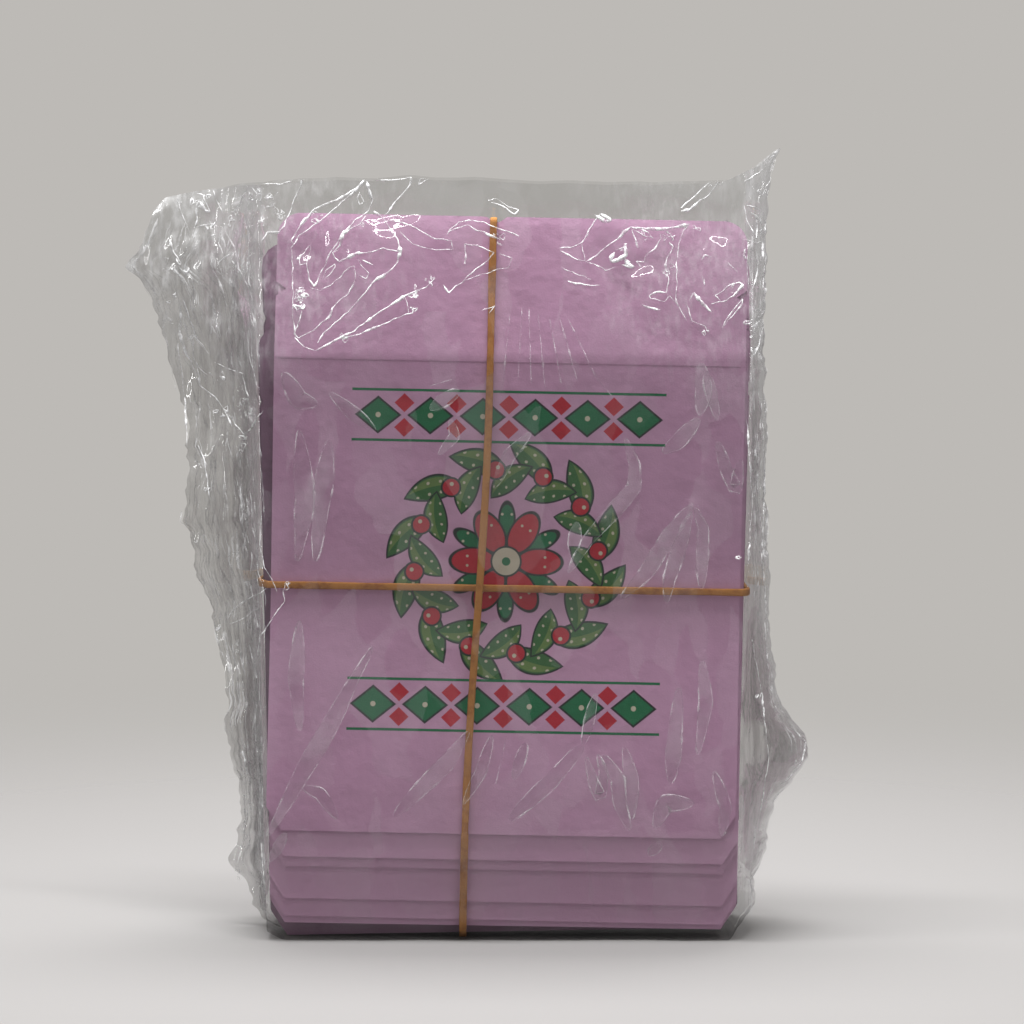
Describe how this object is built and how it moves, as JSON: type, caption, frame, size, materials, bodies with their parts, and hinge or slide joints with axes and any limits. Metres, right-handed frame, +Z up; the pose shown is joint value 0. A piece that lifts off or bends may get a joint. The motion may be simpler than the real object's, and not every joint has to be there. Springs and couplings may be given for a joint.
{
  "type": "banded stack of flat zip pouches in a clear bag",
  "caption": "Stack of flat matte zip pouches, stepped at the bottom, held by two crossed rubber bands and standing in a loose clear plastic bag.",
  "frame": {"origin": "on the ground, in the middle of the flat floor of the bag, under the middle of the stack", "axes": "+Z up along the pouches' height, -Y out of the front pouch, +X to the right as seen from the front"},
  "size_m": [0.1453, 0.0372, 0.1678],
  "materials": {
    "pouch_film": "soft matte lilac film",
    "band_rubber": "amber natural rubber, slightly dusty",
    "clear_film": "clear crumpled film with sharp shine"
  },
  "bodies": {
    "root": {"pouch_01": "pouch_film", "pouch_02": "pouch_film", "pouch_03": "pouch_film", "pouch_04": "pouch_film", "pouch_05": "pouch_film", "pouch_06": "pouch_film", "pouch_07": "pouch_film", "pouch_08": "pouch_film", "pouch_09": "pouch_film", "pouch_10": "pouch_film", "pouch_11": "pouch_film", "pouch_12": "pouch_film", "pouch_13": "pouch_film", "pouch_14": "pouch_film", "pouch_15": "pouch_film", "pouch_16": "pouch_film", "pouch_17": "pouch_film", "pouch_18": "pouch_film", "pouch_19": "pouch_film", "pouch_20": "pouch_film", "pouch_21": "pouch_film", "pouch_22": "pouch_film", "pouch_23": "pouch_film", "pouch_24": "pouch_film", "pouch_25": "pouch_film", "pouch_26": "pouch_film", "pouch_27": "pouch_film", "pouch_28": "pouch_film", "pouch_29": "pouch_film", "pouch_30": "pouch_film", "pouch_31": "pouch_film", "pouch_32": "pouch_film", "pouch_33": "pouch_film", "pouch_34": "pouch_film", "pouch_35": "pouch_film", "pouch_36": "pouch_film", "pouch_37": "pouch_film", "pouch_38": "pouch_film", "pouch_39": "pouch_film", "pouch_40": "pouch_film", "pouch_41": "pouch_film", "pouch_42": "pouch_film", "pouch_43": "pouch_film", "pouch_44": "pouch_film", "pouch_45": "pouch_film", "pouch_46": "pouch_film", "pouch_47": "pouch_film", "pouch_48": "pouch_film", "pouch_49": "pouch_film", "pouch_50": "pouch_film", "band_level": "band_rubber", "band_upright": "band_rubber", "clear_bag": "clear_film"}
  },
  "joints": []
}
